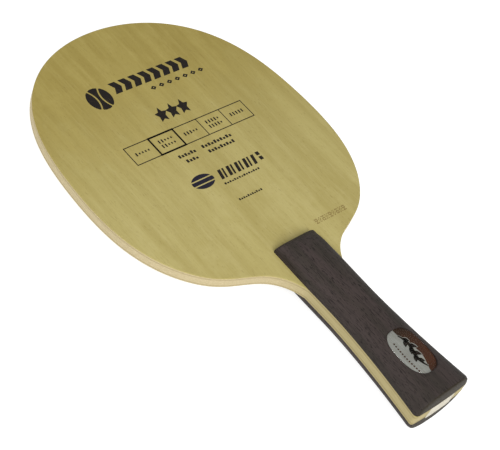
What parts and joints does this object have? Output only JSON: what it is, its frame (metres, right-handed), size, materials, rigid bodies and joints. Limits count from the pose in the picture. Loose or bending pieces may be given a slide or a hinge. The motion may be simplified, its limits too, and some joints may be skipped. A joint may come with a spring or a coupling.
{
  "type": "table tennis blade",
  "caption": "Bare wooden table tennis bat: a rounded plywood head and neck with a flared grip of two dark wood scales, an oval badge and a butt label.",
  "frame": {"origin": "middle of the bounding box, on the mid-plane of the plies", "axes": "+X across the blade, +Y from the butt to the tip of the head, +Z out of the front face, the one with the badge on its grip scale"},
  "size_m": [0.15, 0.2602, 0.025],
  "materials": {
    "face_veneer": "sanded pale limba-like veneer, matt",
    "inner_veneer": "pale veneer edge",
    "core_wood": "light soft wood edge",
    "grip_wood": "dark brown open-pored wood, fine sanded",
    "badge_plate": "rust brown printed insert",
    "badge_foil": "brushed silver foil",
    "badge_cover": "clear glossy resin cover",
    "label_paper": "matt off-white paper"
  },
  "bodies": {
    "root": {"front_outer_ply": "face_veneer", "front_inner_ply": "inner_veneer", "core_ply": "core_wood", "rear_inner_ply": "inner_veneer", "rear_outer_ply": "face_veneer", "front_grip_scale": "grip_wood", "rear_grip_scale": "grip_wood", "badge_plate": "badge_plate", "badge_foil": "badge_foil", "badge_lens": "badge_cover", "butt_label": "label_paper"}
  },
  "joints": []
}
